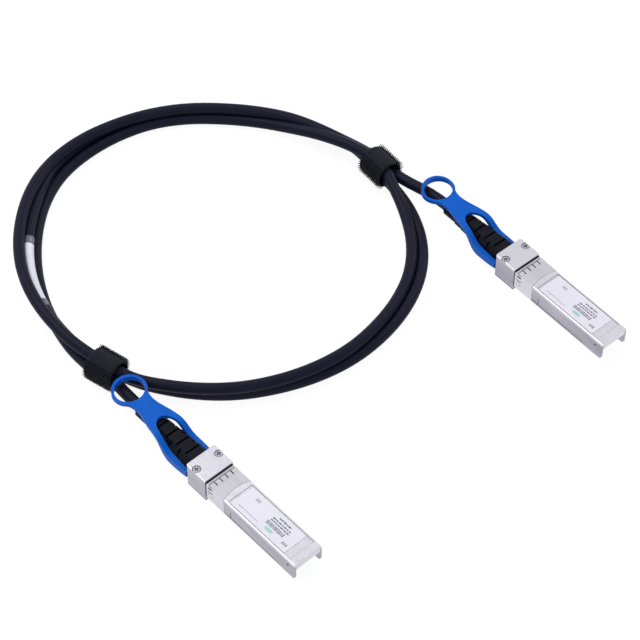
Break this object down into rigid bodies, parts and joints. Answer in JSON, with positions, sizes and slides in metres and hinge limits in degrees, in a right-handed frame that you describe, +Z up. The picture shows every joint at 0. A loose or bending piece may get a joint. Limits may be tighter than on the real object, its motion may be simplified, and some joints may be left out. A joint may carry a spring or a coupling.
{
  "type": "direct attach copper cable",
  "caption": "Coiled twinax copper cord with a metal pluggable module, strain relief and latch pull tab on each end, held by two hook-and-loop ties.",
  "frame": {"origin": "middle of the box around the two plugs, on the surface that they lie on", "axes": "+X from the boots towards the noses of the plugs, +Y from plug b to plug a, +Z up"},
  "size_m": [0.2331, 0.1768, 0.0132],
  "materials": {
    "boot_plastic": "black flexible moulding",
    "jacket": "black extruded jacket, semi-gloss",
    "wrap_film": "printed wrap film",
    "laminate": "glass-epoxy laminate with gold-plated contacts",
    "collar_steel": "bright nickel-plated spring steel",
    "ferrule_metal": "tin-plated brass",
    "zinc": "nickel-plated zinc die casting, satin",
    "label_film": "semi-matt printed polyester film",
    "clear_film": "clear protective film",
    "slider_steel": "stamped stainless steel",
    "tab_plastic": "blue moulded thermoplastic",
    "spring_steel": "spring steel",
    "screw_steel": "nickel-plated steel",
    "hook_and_loop": "woven hook-and-loop strap",
    "foil": "aluminium foil over polyethylene"
  },
  "bodies": {
    "cable": {"boot_a": "boot_plastic", "boot_b": "boot_plastic", "cable_coil": "jacket", "cable_label": "wrap_film", "cable_tail_a": "jacket", "cable_tail_b": "jacket", "circuit_board_a": "laminate", "circuit_board_b": "laminate", "emi_collar_a": "collar_steel", "emi_collar_b": "collar_steel", "ferrule_a": "ferrule_metal", "ferrule_b": "ferrule_metal", "housing_base_a": "zinc", "housing_base_b": "zinc", "housing_cover_a": "zinc", "housing_cover_b": "zinc", "label_a": "label_film", "label_b": "label_film", "label_sleeve": "clear_film", "return_spring_left_a": "spring_steel", "return_spring_left_b": "spring_steel", "return_spring_right_a": "spring_steel", "return_spring_right_b": "spring_steel", "screw_left_a": "screw_steel", "screw_left_b": "screw_steel", "screw_right_a": "screw_steel", "screw_right_b": "screw_steel", "tie_a": "hook_and_loop", "tie_b": "hook_and_loop", "twinax_pair_left_a": "foil", "twinax_pair_left_b": "foil", "twinax_pair_right_a": "foil", "twinax_pair_right_b": "foil"},
    "release_b": {"pull_tab_b": "tab_plastic", "latch_slider_b": "slider_steel"},
    "release_a": {"pull_tab_a": "tab_plastic", "latch_slider_a": "slider_steel"}
  },
  "joints": [
    {"name": "latch_pull_b", "type": "slide", "parent": "cable", "child": "release_b", "axis": [-1, 0, 0], "range_m": [0, 0.0023], "stiffness_N_per_m": 1500, "springref_m": -0.0015, "deforming": ["return_spring_left_b", "return_spring_right_b"]},
    {"name": "latch_pull_a", "type": "slide", "parent": "cable", "child": "release_a", "axis": [-0.9996, 0.0291, 0], "range_m": [0, 0.0023], "stiffness_N_per_m": 1500, "springref_m": -0.0015, "deforming": ["return_spring_left_a", "return_spring_right_a"]}
  ]
}
